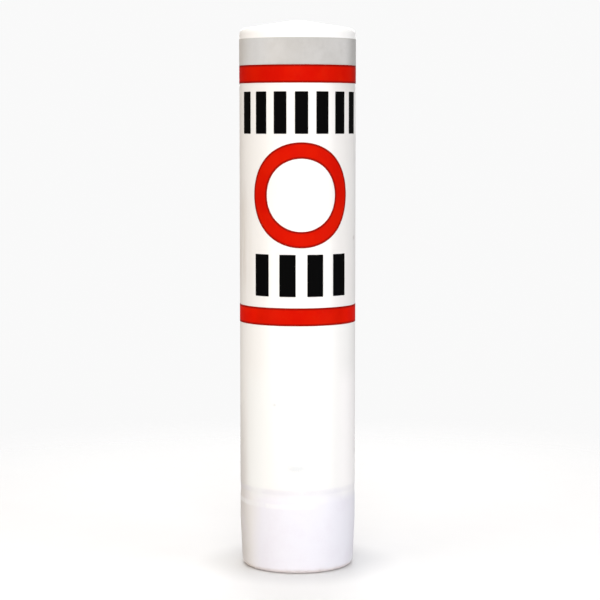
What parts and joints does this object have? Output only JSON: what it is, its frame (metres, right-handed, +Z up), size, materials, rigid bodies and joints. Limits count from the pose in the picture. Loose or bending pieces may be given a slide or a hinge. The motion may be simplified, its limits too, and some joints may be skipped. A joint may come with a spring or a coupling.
{
  "type": "regulatory buoy",
  "caption": "Tall white column marker buoy with a shallow domed crown, silver band, two red bands, red ring, plain black bars and a mooring eye recessed under its foot.",
  "frame": {"origin": "middle of the foot's flat underside", "axes": "+Z up along the column, -Y out of the middle of the ring sign, +X to the right as one faces the sign"},
  "size_m": [0.23, 0.23, 1.0785],
  "materials": {
    "white_polyethylene": "satin moulded",
    "silver_reflective_film": "fine reflective grain",
    "red_film": "satin film",
    "black_film": "satin film",
    "galvanised_steel": "dull hot-dip zinc"
  },
  "bodies": {
    "root": {"hull": "white_polyethylene", "reflective_tape": "silver_reflective_film", "upper_red_band": "red_film", "lower_red_band": "red_film", "area_ring": "red_film", "upper_legend_bar_1": "black_film", "upper_legend_bar_2": "black_film", "upper_legend_bar_3": "black_film", "upper_legend_bar_4": "black_film", "upper_legend_bar_5": "black_film", "upper_legend_bar_6": "black_film", "upper_legend_bar_7": "black_film", "lower_legend_bar_1": "black_film", "lower_legend_bar_2": "black_film", "lower_legend_bar_3": "black_film", "lower_legend_bar_4": "black_film", "mooring_washer": "galvanised_steel", "mooring_eye": "galvanised_steel"}
  },
  "joints": []
}
